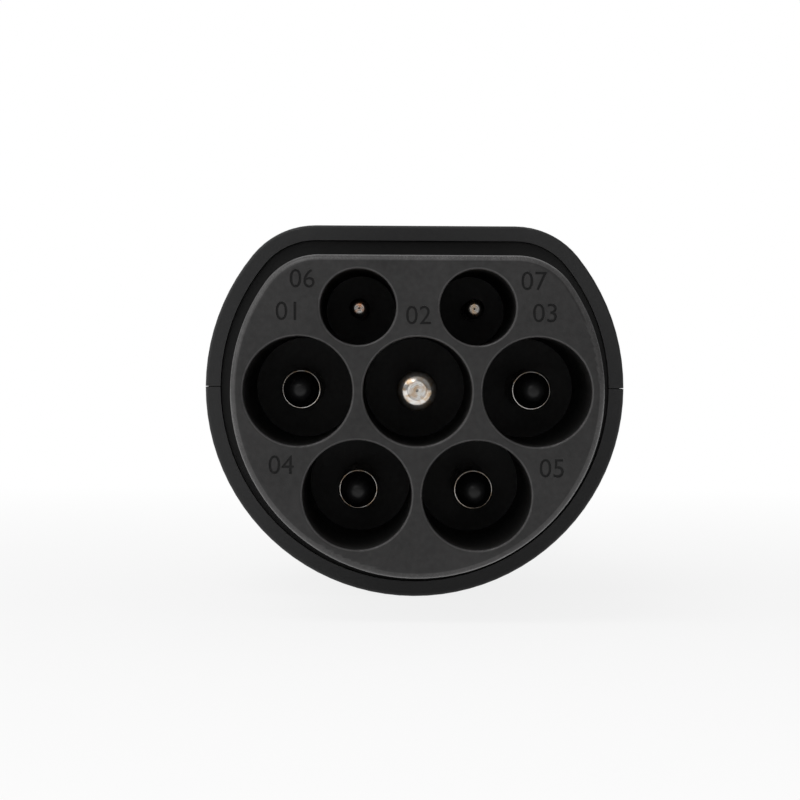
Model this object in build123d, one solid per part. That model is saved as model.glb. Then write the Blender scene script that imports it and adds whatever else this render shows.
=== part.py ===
from build123d import *
import os
from functools import cache
from math import acos, cos, radians, sin, sqrt, tan

# Seven-pole AC charging plug for a charging post, without its cable.
# Millimetres. The origin is at the foot of the earth pin: the wells' floors and the front of the
# housing's lip lie in one plane, y = 0.
# The pins point to -Y, the cable leaves to +Y, and the flat of the D is on top, at +Z.

# ---------------------------------------------------------------- contact face
POWER_PITCH = 17.3            # earth pin to each of the four power pins round it
POWER_WELL_RADIUS = 7.9
SIGNAL_SPREAD = 8.65          # signal pins to the left and right of the centre line
LOWER_PIN_ANGLE = 60.0        # degrees below level, from the earth pin to the lower two
SIGNAL_RISE = 12.2            # signal pins above the earth pin
SIGNAL_WELL_RADIUS = 5.5
NOSE_SIDE_WALL = 1.9          # between a power well and the nose's round side
NOSE_TOP_WALL = 2.05          # between a signal well and the nose's flat
NOSE_CORNER = 9.5
NOSE_LENGTH = 43.0            # from the housing's lip, and the wells' floors, to the contact face
NOSE_EDGE_ROUND = 1.2
WELL_EDGE_ROUND = 0.4
LOCK_RECESS_WIDTH = 5.0       # the post's locking bolt drops into the nose's flat here
LOCK_RECESS_LENGTH = 9.0
LOCK_RECESS_DEPTH = 3.5
LOCK_RECESS_SETBACK = 6.0     # from the lip to the recess's nearer end

# ---------------------------------------------------------------- pins
POWER_PIN_RADIUS = 3.0
SIGNAL_PIN_RADIUS = 1.5
LINE_PIN_SETBACK = 17.5       # from the contact face to the metal's end
LINE_TIP_SETBACK = 10.0       # from the contact face to the insulating tip's end
EARTH_PIN_SETBACK = 7.0
SIGNAL_PIN_SETBACK = 16.0
TIP_RIM = 0.25                # metal left round the insulating tip's foot
TIP_NOSE_RADIUS = 1.35
TIP_STEM_RADIUS = 1.2
TIP_STEM_LENGTH = 5.0
EARTH_NOSE_RADIUS = 1.45      # flat left at the domed end
EARTH_DOME_HEIGHT = 1.15      # of the whole dome, without the flat
SIGNAL_NOSE_RADIUS = 0.8
SIGNAL_DOME_HEIGHT = 0.9
PIN_SEAT_STEP = 0.2           # how much thicker a pin is from its well's floor on
PIN_COLLAR_LENGTH = 3.0
POWER_COLLAR_STEP = 1.5       # how far the collar stands out of the pin
SIGNAL_COLLAR_STEP = 1.0
POWER_TAIL_STEP = 0.5         # how much thicker the pin is behind its collar
SIGNAL_TAIL_STEP = 0.3
POWER_BARREL_LENGTH = 13.0
SIGNAL_BARREL_LENGTH = 8.0
POWER_BARREL_WALL = 1.0
SIGNAL_BARREL_WALL = 0.55
BARREL_SETBACK = 0.5          # from the coding board to the crimp barrel
BARREL_FLOOR = 1.0

# ---------------------------------------------------------------- housing
GASKET_SIDE_WIDTH = 4.0       # between the nose and the housing's lip
GASKET_TOP_WIDTH = 3.75
LIP_WIDTH = 2.4
LIP_ROUND = 0.5
GASKET_THICKNESS = 1.6
GASKET_SINK = 0.8             # gasket's face behind the lip's face
FRONT_PLATE = 2.6
COLLAR_CORNER = 13.0
COLLAR_LENGTH = 33.0
SHOULDER_LENGTH = 44.0
GRIP_LENGTH = 100.0
TAIL_LENGTH = 8.0             # level stretch behind the grip, round the gland
GRIP_RADIUS = 21.5
GRIP_FLAT = 18.0
GRIP_CORNER = 10.0
TAIL_SIDE = 7.5               # housing outside the gland's neck, at the sides and below
TAIL_TOP = 4.5                # housing outside the gland's neck, up to the flat
TAIL_CORNER = 10.0
TAIL_ROUND = 2.5
WALL = 2.8
END_WALL = 3.0
SEAM_GAP = 0.12
LAP_HEIGHT = 1.5              # tongue of the lower shell inside the upper one
LAP_INSET = 1.4               # tongue's outer side below the housing's surface
GRIP_RIB_COUNT = 8
GRIP_RIB_PITCH = 7.0
GRIP_RIB_WIDTH = 2.6
GRIP_RIB_HEIGHT = 0.8
GRIP_RIB_START = 16.0         # behind the shoulder
GRIP_RIB_DROP = 5.0           # ribs end this far below the seam

# ---------------------------------------------------------------- carrier's seat
FLANGE_REACH = 2.6
FLANGE_THICKNESS = 3.0
SEAT_RIB_THICKNESS = 2.0
SEAT_RIB_OPENING = 1.2        # seat rib stands clear of the nose's outline by this
SEAL_THICKNESS = 1.5
RETAINER_THICKNESS = 5.0
RETAINER_INSET = 0.6
SHROUD_LENGTH = 4.0
SHROUD_WALL = 1.0
SHROUD_GAP = 0.7
RETAINER_SCREW_SIDE = 20.1
RETAINER_SCREW_RISE = 11.6
RETAINER_SCREW_RADIUS = 1.2
RETAINER_SCREW_BITE = 6.0     # length of screw in the carrier
RETAINER_HEAD_RADIUS = 2.6
RETAINER_HEAD_HEIGHT = 1.6
CROSS_LENGTH = 2.8            # cross recess in the head
CROSS_WIDTH = 0.7
CROSS_DEPTH = 1.0
BOARD_THICKNESS = 1.2
BOARD_MARGIN = 2.0            # board beyond the tail of the earth pin
RESISTOR_LENGTH = 5.0
RESISTOR_WIDTH = 2.5
RESISTOR_HEIGHT = 0.6

# ---------------------------------------------------------------- housing screws
SCREW_RADIUS = 1.45
SCREW_HEAD_RADIUS = 2.75
SCREW_HEAD_HEIGHT = 2.2
SCREW_HEX_ACROSS = 2.5
SCREW_BITE = 7.0              # length of screw above the seam
LOWER_BOSS_RADIUS = 4.3
UPPER_BOSS_RADIUS = 3.7
BOSS_BURY = 0.1               # boss grown into the housing's wall
BOSS_ROOM = 1.0               # between a boss and the retainer's shrouds
INSERT_LENGTH = 5.0
INSERT_WALL = 0.65
INSERT_SINK = 0.8             # insert above the sloping top of the lower shell's boss
COLLAR_SCREW_SEAT = 12.0      # head's seat below the seam
GRIP_SCREW_SEAT = 7.0
GRIP_SCREW_FRONT = 22.0       # behind the shoulder
GRIP_SCREW_REAR = 24.0        # ahead of the housing's end

# ---------------------------------------------------------------- cable gland
CABLE_BORE_RADIUS = 8.4       # for a cable 16.5 mm thick
CABLE_ROOM = 1.1              # round the cable in the neck's bore
SEAL_WALL = 1.2
CLAW_WALL = 1.0
CLAW_RIDGE = 1.0              # how far the claw stands out where the nut presses it
NECK_WALL = 1.8               # outside the claw
NECK_LENGTH = 14.0
GLAND_FLANGE = 3.0
GLAND_GASKET = 1.0
GLAND_RIB = 2.5
GLAND_RIB_ROOM = 1.0          # rib's opening outside the neck's bore
CLAW_DEPTH = 10.0             # in the neck's mouth
CLAW_REACH = 7.0              # out of the neck's mouth
CLAW_FINGERS = 8
CLAW_SLOT = 1.2
NUT_FLAT_WALL = 3.5           # outside the neck, at the flats
NUT_DOME_WALL = 2.9
NUT_MOUTH_WALL = 3.0
NUT_HEX_LENGTH = 15.0
NUT_DOME_LENGTH = 11.0
NUT_CHAMFER = 1.2

# ---------------------------------------------------------------- clearances
PLAY = 0.1                    # between moulded pieces that sit in each other
SLIP = 0.05                   # between a pin and its hole
CREST = 0.15                  # between a neck and its nut
GLAND_PLAY = 0.3              # round the gland's flange, and between its nut and the housing
HEAD_PLAY = 0.3               # round a housing screw's head
HOLE_SPARE = 0.5              # blind hole beyond the end of what sits in it

# ---------------------------------------------------------------- what follows from them
NOSE_RADIUS = POWER_PITCH + POWER_WELL_RADIUS + NOSE_SIDE_WALL
NOSE_FLAT = SIGNAL_RISE + SIGNAL_WELL_RADIUS + NOSE_TOP_WALL
COLLAR_RADIUS = NOSE_RADIUS + GASKET_SIDE_WIDTH + LIP_WIDTH
COLLAR_FLAT = NOSE_FLAT + GASKET_TOP_WIDTH + LIP_WIDTH
FACE_Y = -NOSE_LENGTH
WELL_FLOOR_Y = 0.0
PLATE_Y = GASKET_SINK + GASKET_THICKNESS
FLANGE_Y = PLATE_Y + FRONT_PLATE
CARRIER_BACK_Y = FLANGE_Y + FLANGE_THICKNESS
SEAL_BACK_Y = CARRIER_BACK_Y + SEAL_THICKNESS
RETAINER_BACK_Y = SEAL_BACK_Y + RETAINER_THICKNESS
BOARD_BACK_Y = RETAINER_BACK_Y + BOARD_THICKNESS
GRIP_Y = COLLAR_LENGTH + SHOULDER_LENGTH
TAIL_Y = GRIP_Y + GRIP_LENGTH
END_Y = TAIL_Y + TAIL_LENGTH
GASKET_BACK_Y = END_Y - END_WALL
GLAND_FLANGE_Y = GASKET_BACK_Y - GLAND_GASKET - GLAND_FLANGE
MOUTH_Y = END_Y + NECK_LENGTH
CLAW_FOOT_Y = MOUTH_Y - CLAW_DEPTH
CLAW_END_Y = MOUTH_Y + CLAW_REACH
SEAL_RADIUS = CABLE_BORE_RADIUS + SEAL_WALL
CLAW_BORE = SEAL_RADIUS + SLIP
CLAW_RADIUS = CLAW_BORE + CLAW_WALL
NECK_BORE_RADIUS = CABLE_BORE_RADIUS + CABLE_ROOM
NECK_RADIUS = CLAW_RADIUS + SLIP + NECK_WALL
TAIL_RADIUS = NECK_RADIUS + TAIL_SIDE
TAIL_FLAT = NECK_RADIUS + TAIL_TOP
DROP = COLLAR_RADIUS - TAIL_RADIUS      # the tail ends level with the collar's underside
REACH = 3 * COLLAR_RADIUS               # larger than the section of any piece
SHOULDER_SPAN_COUNT = 5                 # evenly spaced sections that shape the housing
GRIP_SPAN_COUNT = 3

LOWER_PIN_SIDE = POWER_PITCH * cos(radians(LOWER_PIN_ANGLE))
LOWER_PIN_FALL = POWER_PITCH * sin(radians(LOWER_PIN_ANGLE))
POWER_PLACES = {
    "line_pin_1": (-POWER_PITCH, 0.0),
    "earth_pin": (0.0, 0.0),
    "neutral_pin": (POWER_PITCH, 0.0),
    "line_pin_2": (-LOWER_PIN_SIDE, -LOWER_PIN_FALL),
    "line_pin_3": (LOWER_PIN_SIDE, -LOWER_PIN_FALL),
}
SIGNAL_PLACES = {
    "proximity_pin": (-SIGNAL_SPREAD, SIGNAL_RISE),
    "pilot_pin": (SIGNAL_SPREAD, SIGNAL_RISE),
}
RETAINER_SCREW_PLACES = [
    (side * RETAINER_SCREW_SIDE, rise * RETAINER_SCREW_RISE) for side in (-1, 1) for rise in (-1, 1)
]


# ---------------------------------------------------------------- drawing helpers
def across(y, z=0.0):
    """Plane across the plug, seen from the pins' side: X to the right, Z up."""
    return Plane(origin=(0, y, z), x_dir=(1, 0, 0), z_dir=(0, -1, 0))


def slab(outline, front, back, z=0.0):
    """Extrude an outline from y = front to y = back."""
    return extrude(across(back, z) * outline, amount=back - front)


def rod(place, radius, front, back):
    """Round bar along Y with its axis at place = (x, z)."""
    return slab(Pos(place[0], place[1]) * Circle(radius), front, back)


def turned(points, place=(0.0, 0.0)):
    """Turned piece about an axis along Y, from (radius, y) points."""
    profile = make_face(Polyline(*points, close=True))
    return Pos(place[0], 0, place[1]) * revolve(profile, Axis.Y)


def flipped(point):
    return Vector(-point.X, point.Y)


def d_outline(radius, flat, corner, inset=0.0):
    """Circle cut by a flat on top, with rounded corners, moved inwards by inset."""
    big, top, small = radius - inset, flat - inset, corner - inset
    rise = top - small
    side = sqrt((big - small) ** 2 - rise ** 2)
    hub = Vector(side, rise)
    joint = hub * (big / (big - small))
    corner_middle = hub + (hub.normalized() + Vector(0, 1)).normalized() * small
    belly_middle = (hub.normalized() + Vector(0, -1)).normalized() * big
    return make_face([
        Line((-side, top), (side, top)),
        ThreePointArc((side, top), corner_middle, joint),
        ThreePointArc(joint, belly_middle, (0, -big)),
        ThreePointArc((0, -big), flipped(belly_middle), flipped(joint)),
        ThreePointArc(flipped(joint), flipped(corner_middle), (-side, top)),
    ])


def nose_outline(inset=0.0):
    return d_outline(NOSE_RADIUS, NOSE_FLAT, NOSE_CORNER, inset)


def collar_outline(inset=0.0):
    return d_outline(COLLAR_RADIUS, COLLAR_FLAT, COLLAR_CORNER, inset)


def tail_outline(inset=0.0):
    return d_outline(TAIL_RADIUS, TAIL_FLAT, TAIL_CORNER, inset)


def ease(share):
    """Smooth S from 0 to 1, level at both ends."""
    return share * share * (3 - 2 * share)


def sag(y):
    """Height of the housing's centre line, and of its seam, at y."""
    share = min(max((y - COLLAR_LENGTH) / (TAIL_Y - COLLAR_LENGTH), 0), 1)
    return -DROP * ease(share)


def blend(start, end, share):
    return [a + (b - a) * ease(share) for a, b in zip(start, end)]


def handle_sizes(y):
    """Radius, flat and corner of the housing's section at y, behind the collar."""
    collar = (COLLAR_RADIUS, COLLAR_FLAT, COLLAR_CORNER)
    grip = (GRIP_RADIUS, GRIP_FLAT, GRIP_CORNER)
    tail = (TAIL_RADIUS, TAIL_FLAT, TAIL_CORNER)
    if y < GRIP_Y:
        return blend(collar, grip, (y - COLLAR_LENGTH) / SHOULDER_LENGTH)
    return blend(grip, tail, min((y - GRIP_Y) / GRIP_LENGTH, 1))


def lofted(start, end, spans, inset):
    """Loft through evenly spaced sections of the handle."""
    stations = [start + (end - start) * step / spans for step in range(spans + 1)]
    return loft([across(y, sag(y)) * d_outline(*handle_sizes(y), inset) for y in stations])


@cache
def body_form(inset=0.0, rounded=False):
    """The housing's outer form, moved inwards by inset: level collar, lofted handle, level tail."""
    collar = slab(collar_outline(inset), 0, COLLAR_LENGTH)
    tail = slab(tail_outline(inset), TAIL_Y, END_Y, -DROP)
    if rounded:
        collar = fillet(collar.faces().sort_by(Axis.Y)[0].edges(), LIP_ROUND)
        tail = fillet(tail.faces().sort_by(Axis.Y)[-1].edges(), TAIL_ROUND)
    shoulder = lofted(COLLAR_LENGTH, GRIP_Y, SHOULDER_SPAN_COUNT, inset)
    grip = lofted(GRIP_Y, TAIL_Y, GRIP_SPAN_COUNT, inset)
    return collar + shoulder + grip + tail


def between(form, front, back):
    """The part of a form from y = front to y = back."""
    return form & slab(Rectangle(2 * REACH, 2 * REACH), front, back)


def seam_side(lift, up):
    """All the space above or below the seam, once the seam is raised by lift."""
    third = (TAIL_Y - COLLAR_LENGTH) / 3
    start, end = -REACH, END_Y + REACH
    far = REACH if up else -REACH
    low = lift - DROP
    edges = [
        Line((start, lift), (COLLAR_LENGTH, lift)),
        Bezier(
            (COLLAR_LENGTH, lift), (COLLAR_LENGTH + third, lift), (TAIL_Y - third, low), (TAIL_Y, low)
        ),
        Line((TAIL_Y, low), (end, low)),
        Line((end, low), (end, far)),
        Line((end, far), (start, far)),
        Line((start, far), (start, lift)),
    ]
    return extrude(Plane.YZ * make_face(edges), amount=REACH, both=True)


def screw_places():
    """(x, y, seat depth) of each housing screw: one pair in the collar and two in the grip."""
    collar_y = RETAINER_BACK_Y + SHROUD_LENGTH + LOWER_BOSS_RADIUS + BOSS_ROOM
    rows = [
        (collar_y, COLLAR_RADIUS, COLLAR_SCREW_SEAT),
        (GRIP_Y + GRIP_SCREW_FRONT, handle_sizes(GRIP_Y + GRIP_SCREW_FRONT)[0], GRIP_SCREW_SEAT),
        (END_Y - GRIP_SCREW_REAR, handle_sizes(END_Y - GRIP_SCREW_REAR)[0], GRIP_SCREW_SEAT),
    ]
    places = []
    for y, radius, seat in rows:
        x = radius - WALL - LOWER_BOSS_RADIUS + BOSS_BURY
        places += [(-x, y, seat), (x, y, seat)]
    return places


def insert_foot(y):
    return sag(y) + LAP_HEIGHT + INSERT_SINK


def column(x, y, radius, bottom, top):
    """Upright round column between two heights."""
    return Pos(x, y, bottom) * Cylinder(radius, top - bottom, align=(Align.CENTER, Align.CENTER, Align.MIN))


# ---------------------------------------------------------------- contact carrier and what seals it
def make_contact_carrier():
    nose = slab(nose_outline(), FACE_Y, CARRIER_BACK_Y)
    nose = fillet(nose.faces().sort_by(Axis.Y)[0].edges(), NOSE_EDGE_ROUND)
    carrier = nose + slab(nose_outline(-FLANGE_REACH), FLANGE_Y, CARRIER_BACK_Y)
    for place in POWER_PLACES.values():
        carrier -= rod(place, POWER_WELL_RADIUS, FACE_Y, WELL_FLOOR_Y)
    for place in SIGNAL_PLACES.values():
        carrier -= rod(place, SIGNAL_WELL_RADIUS, FACE_Y, WELL_FLOOR_Y)
    rims = carrier.faces().sort_by(Axis.Y)[0].edges().filter_by(GeomType.CIRCLE)
    rims = [rim for rim in rims if rim.is_closed]
    carrier = fillet(rims, WELL_EDGE_ROUND)
    seat_y = CARRIER_BACK_Y - PIN_COLLAR_LENGTH
    for places, radius, step in pin_families():
        for place in places.values():
            carrier -= rod(place, radius + PIN_SEAT_STEP + SLIP, WELL_FLOOR_Y, seat_y)
            carrier -= rod(place, radius + step + SLIP, seat_y, CARRIER_BACK_Y)
    hole_end_y = CARRIER_BACK_Y - RETAINER_SCREW_BITE - HOLE_SPARE
    for place in RETAINER_SCREW_PLACES:
        carrier -= rod(place, RETAINER_SCREW_RADIUS + SLIP, hole_end_y, CARRIER_BACK_Y)
    recess = Box(LOCK_RECESS_WIDTH, LOCK_RECESS_LENGTH, 2 * LOCK_RECESS_DEPTH)
    carrier -= Pos(0, -LOCK_RECESS_SETBACK - LOCK_RECESS_LENGTH / 2, NOSE_FLAT) * recess
    return carrier


def pin_families():
    """Places, shank radius and collar step of the power pins and of the signal pins."""
    return [
        (POWER_PLACES, POWER_PIN_RADIUS, POWER_COLLAR_STEP),
        (SIGNAL_PLACES, SIGNAL_PIN_RADIUS, SIGNAL_COLLAR_STEP),
    ]


def pierce_for_tails(plate, gap, front, back):
    for place in POWER_PLACES.values():
        plate -= rod(place, POWER_PIN_RADIUS + POWER_TAIL_STEP + gap, front, back)
    for place in SIGNAL_PLACES.values():
        plate -= rod(place, SIGNAL_PIN_RADIUS + SIGNAL_TAIL_STEP + gap, front, back)
    return plate


def make_contact_seal():
    seal = slab(nose_outline(RETAINER_INSET), CARRIER_BACK_Y, SEAL_BACK_Y)
    seal = pierce_for_tails(seal, SLIP, CARRIER_BACK_Y, SEAL_BACK_Y)
    for place in RETAINER_SCREW_PLACES:
        seal -= rod(place, RETAINER_SCREW_RADIUS + PLAY, CARRIER_BACK_Y, SEAL_BACK_Y)
    return seal


def make_rear_retainer():
    retainer = slab(nose_outline(RETAINER_INSET), SEAL_BACK_Y, RETAINER_BACK_Y)
    shroud_radius = POWER_PIN_RADIUS + POWER_TAIL_STEP + SHROUD_GAP
    shroud_back_y = RETAINER_BACK_Y + SHROUD_LENGTH
    for name, place in POWER_PLACES.items():
        if name == "earth_pin":
            continue
        retainer += rod(place, shroud_radius + SHROUD_WALL, RETAINER_BACK_Y, shroud_back_y)
        retainer -= rod(place, shroud_radius, RETAINER_BACK_Y, shroud_back_y)
    retainer = pierce_for_tails(retainer, PLAY, SEAL_BACK_Y, RETAINER_BACK_Y)
    for place in RETAINER_SCREW_PLACES:
        retainer -= rod(place, RETAINER_SCREW_RADIUS + PLAY, SEAL_BACK_Y, RETAINER_BACK_Y)
        retainer -= rod(
            place, RETAINER_HEAD_RADIUS + PLAY, RETAINER_BACK_Y - RETAINER_HEAD_HEIGHT, RETAINER_BACK_Y
        )
    return retainer


def make_retainer_screws():
    seat_y = RETAINER_BACK_Y - RETAINER_HEAD_HEIGHT
    screws = []
    for place in RETAINER_SCREW_PLACES:
        screw = rod(place, RETAINER_SCREW_RADIUS, CARRIER_BACK_Y - RETAINER_SCREW_BITE, seat_y)
        screw += rod(place, RETAINER_HEAD_RADIUS, seat_y, RETAINER_BACK_Y)
        cross = Rectangle(CROSS_LENGTH, CROSS_WIDTH) + Rectangle(CROSS_WIDTH, CROSS_LENGTH)
        screw -= slab(Pos(*place) * cross, RETAINER_BACK_Y - CROSS_DEPTH, RETAINER_BACK_Y)
        screws.append(screw)
    return Compound(children=screws)


def make_front_gasket():
    ring = collar_outline(LIP_WIDTH + PLAY) - nose_outline(-PLAY)
    return slab(ring, GASKET_SINK, PLATE_Y)


# ---------------------------------------------------------------- pins
def tail_points(radius, collar_step, tail_step, barrel_wall, barrel_length):
    """(radius, y) points of a pin behind its well: seat, collar, tail and crimp barrel."""
    seat_y = CARRIER_BACK_Y - PIN_COLLAR_LENGTH
    tail_y = BOARD_BACK_Y + BARREL_SETBACK
    end_y = tail_y + barrel_length
    bore = radius - barrel_wall
    return [
        (radius, WELL_FLOOR_Y),
        (radius + PIN_SEAT_STEP, WELL_FLOOR_Y),
        (radius + PIN_SEAT_STEP, seat_y),
        (radius + collar_step, seat_y),
        (radius + collar_step, CARRIER_BACK_Y),
        (radius + tail_step, CARRIER_BACK_Y),
        (radius + tail_step, tail_y),
        (radius, tail_y),
        (radius, end_y),
        (bore, end_y),
        (bore, tail_y + BARREL_FLOOR),
        (0, tail_y + BARREL_FLOOR),
    ]


def make_line_pin(place):
    front_y = FACE_Y + LINE_PIN_SETBACK
    stem_y = front_y + TIP_STEM_LENGTH + HOLE_SPARE
    stem = TIP_STEM_RADIUS + SLIP
    front = [(0, stem_y), (stem, stem_y), (stem, front_y), (POWER_PIN_RADIUS, front_y)]
    return turned(front + power_tail(), place)


def power_tail():
    return tail_points(
        POWER_PIN_RADIUS, POWER_COLLAR_STEP, POWER_TAIL_STEP, POWER_BARREL_WALL, POWER_BARREL_LENGTH
    )


def domed(radius, nose, front_y, height, tail, place):
    """Turned pin with an elliptical dome, cut flat where its radius is that of the nose."""
    cut = acos(nose / radius)
    handle = 4 / 3 * tan(cut / 4)
    side_y = front_y + height * sin(cut)
    dome = Bezier(
        (radius, side_y), (radius, side_y - handle * height),
        (nose + handle * radius * sin(cut), front_y + handle * height * cos(cut)), (nose, front_y),
    )
    side = Polyline((radius, side_y), *tail, (0, front_y), (nose, front_y))
    return Pos(place[0], 0, place[1]) * revolve(make_face([side, dome]), Axis.Y)


def make_earth_pin(place):
    front_y = FACE_Y + EARTH_PIN_SETBACK
    return domed(POWER_PIN_RADIUS, EARTH_NOSE_RADIUS, front_y, EARTH_DOME_HEIGHT, power_tail(), place)


def make_signal_pin(place):
    front_y = FACE_Y + SIGNAL_PIN_SETBACK
    tail = tail_points(
        SIGNAL_PIN_RADIUS, SIGNAL_COLLAR_STEP, SIGNAL_TAIL_STEP, SIGNAL_BARREL_WALL, SIGNAL_BARREL_LENGTH
    )
    return domed(SIGNAL_PIN_RADIUS, SIGNAL_NOSE_RADIUS, front_y, SIGNAL_DOME_HEIGHT, tail, place)


def make_pin_tip(place):
    """Insulating tip that keeps a finger off a line pin: a bullet nose on a stem."""
    foot_y = FACE_Y + LINE_PIN_SETBACK
    nose_y = FACE_Y + LINE_TIP_SETBACK
    foot = POWER_PIN_RADIUS - TIP_RIM
    side = Polyline(
        (foot, foot_y), (TIP_STEM_RADIUS, foot_y), (TIP_STEM_RADIUS, foot_y + TIP_STEM_LENGTH),
        (0, foot_y + TIP_STEM_LENGTH), (0, nose_y), (TIP_NOSE_RADIUS, nose_y),
    )
    bullet = TangentArc((foot, foot_y), (TIP_NOSE_RADIUS, nose_y), tangent=(0, -1))
    return Pos(place[0], 0, place[1]) * revolve(make_face([side, bullet]), Axis.Y)


# ---------------------------------------------------------------- coding resistor on its board
def board_frame():
    """Middle of the line from the earth pin to the proximity pin, its length and its angle."""
    x, z = SIGNAL_PLACES["proximity_pin"]
    return x / 2, z / 2, sqrt(x * x + z * z), Vector(x, z).get_signed_angle(Vector(1, 0), Vector(0, 0, -1))


def make_coding_board():
    x, z, length, angle = board_frame()
    width = 2 * (POWER_PIN_RADIUS + POWER_TAIL_STEP + BOARD_MARGIN)
    outline = Pos(x, z) * Rot(0, 0, angle) * SlotCenterToCenter(length, width)
    board = slab(outline, RETAINER_BACK_Y, BOARD_BACK_Y)
    return pierce_for_tails(board, SLIP, RETAINER_BACK_Y, BOARD_BACK_Y)


def make_coding_resistor():
    x, z, length, angle = board_frame()
    power_edge = POWER_PIN_RADIUS + POWER_TAIL_STEP
    signal_edge = SIGNAL_PIN_RADIUS + SIGNAL_TAIL_STEP
    shift = (power_edge - signal_edge) / 2
    body = Rectangle(RESISTOR_WIDTH, RESISTOR_LENGTH)
    outline = Pos(x, z) * Rot(0, 0, angle) * Pos(shift, 0) * body
    return slab(outline, BOARD_BACK_Y, BOARD_BACK_Y + RESISTOR_HEIGHT)


# ---------------------------------------------------------------- housing shells
def hollow_housing():
    """Both shells as one piece: wall, front plate, end wall and the seats of what they hold."""
    housing = body_form(rounded=True) - between(body_form(WALL), FLANGE_Y, GASKET_BACK_Y)
    housing -= slab(collar_outline(LIP_WIDTH), 0, PLATE_Y)
    housing -= slab(nose_outline(-PLAY), 0, FLANGE_Y)
    seat_rib = collar_outline(WALL / 2) - nose_outline(-SEAT_RIB_OPENING)
    housing += slab(seat_rib, CARRIER_BACK_Y + PLAY, CARRIER_BACK_Y + PLAY + SEAT_RIB_THICKNESS)
    rib_back_y = GLAND_FLANGE_Y - PLAY
    rib_front_y = rib_back_y - GLAND_RIB
    gland_rib = between(body_form(WALL / 2), rib_front_y, rib_back_y)
    housing += gland_rib - slab(Circle(NECK_BORE_RADIUS + GLAND_RIB_ROOM), rib_front_y, rib_back_y, -DROP)
    return housing - slab(Circle(NECK_RADIUS + PLAY), GASKET_BACK_Y, END_Y, -DROP)


def grip_ribs():
    """Finger ribs round the underside of the grip."""
    raised = body_form(-GRIP_RIB_HEIGHT) - body_form(WALL / 2)
    raised &= seam_side(-GRIP_RIB_DROP, up=False)
    ribs = []
    for step in range(GRIP_RIB_COUNT):
        front = GRIP_Y + GRIP_RIB_START + step * GRIP_RIB_PITCH
        ribs.append(between(raised, front, front + GRIP_RIB_WIDTH))
    return ribs


def lap_form(inset):
    """Where the two shells overlap, short of the housing's front and end faces."""
    return between(body_form(inset), PLATE_Y + FRONT_PLATE / 2, END_Y - END_WALL / 2)


def make_upper_shell(housing):
    shell = housing
    for x, y, seat in screw_places():
        boss = column(x, y, UPPER_BOSS_RADIUS, sag(y), COLLAR_FLAT)
        shell += boss & body_form(WALL / 2)
    shell &= seam_side(SEAM_GAP / 2, up=True)
    shell -= lap_form(LAP_INSET) & seam_side(LAP_HEIGHT + SEAM_GAP, up=False)
    for x, y, seat in screw_places():
        hole_top = insert_foot(y) + INSERT_LENGTH + HOLE_SPARE
        shell -= column(x, y, SCREW_RADIUS + INSERT_WALL + SLIP, sag(y), hole_top)
    return shell


def make_lower_shell(housing):
    shell = housing
    for rib in grip_ribs():
        shell += rib
    for x, y, seat in screw_places():
        boss = column(x, y, LOWER_BOSS_RADIUS, -COLLAR_RADIUS, sag(y) + 2 * LAP_HEIGHT)
        shell += boss & body_form(WALL / 2)
    tongue = shell & lap_form(LAP_INSET + PLAY) & seam_side(LAP_HEIGHT, up=False)
    shell = (shell & seam_side(-SEAM_GAP / 2, up=False)) + tongue
    for x, y, seat in screw_places():
        seat_z = sag(y) - seat
        shell -= column(x, y, SCREW_RADIUS + PLAY, seat_z, REACH)
        shell -= column(x, y, SCREW_HEAD_RADIUS + HEAD_PLAY, -REACH, seat_z)
    return shell


def make_shell_screws():
    screws = []
    for x, y, seat in screw_places():
        seat_z = sag(y) - seat
        screw = column(x, y, SCREW_RADIUS, seat_z, sag(y) + SCREW_BITE)
        screw += column(x, y, SCREW_HEAD_RADIUS, seat_z - SCREW_HEAD_HEIGHT, seat_z)
        socket = RegularPolygon(SCREW_HEX_ACROSS / 2, 6, major_radius=False)
        socket_z = seat_z - SCREW_HEAD_HEIGHT
        screws.append(screw - Pos(x, y, socket_z) * extrude(socket, amount=SCREW_HEAD_HEIGHT / 2))
    return Compound(children=screws)


def make_shell_inserts():
    inserts = []
    for x, y, seat in screw_places():
        foot = insert_foot(y)
        insert = column(x, y, SCREW_RADIUS + INSERT_WALL, foot, foot + INSERT_LENGTH)
        inserts.append(insert - column(x, y, SCREW_RADIUS + SLIP, foot, foot + INSERT_LENGTH))
    return Compound(children=inserts)


# ---------------------------------------------------------------- cable gland
def make_gland_gasket():
    ring = tail_outline(WALL + GLAND_PLAY) - Circle(NECK_RADIUS + PLAY)
    return slab(ring, GASKET_BACK_Y - GLAND_GASKET, GASKET_BACK_Y, -DROP)


def make_gland_body():
    body = slab(tail_outline(WALL + GLAND_PLAY), GLAND_FLANGE_Y, GLAND_FLANGE_Y + GLAND_FLANGE, -DROP)
    body += slab(Circle(NECK_RADIUS), GLAND_FLANGE_Y, MOUTH_Y, -DROP)
    body -= slab(Circle(NECK_BORE_RADIUS), GLAND_FLANGE_Y, MOUTH_Y, -DROP)
    return body - slab(Circle(CLAW_RADIUS + SLIP), CLAW_FOOT_Y, MOUTH_Y, -DROP)


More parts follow.
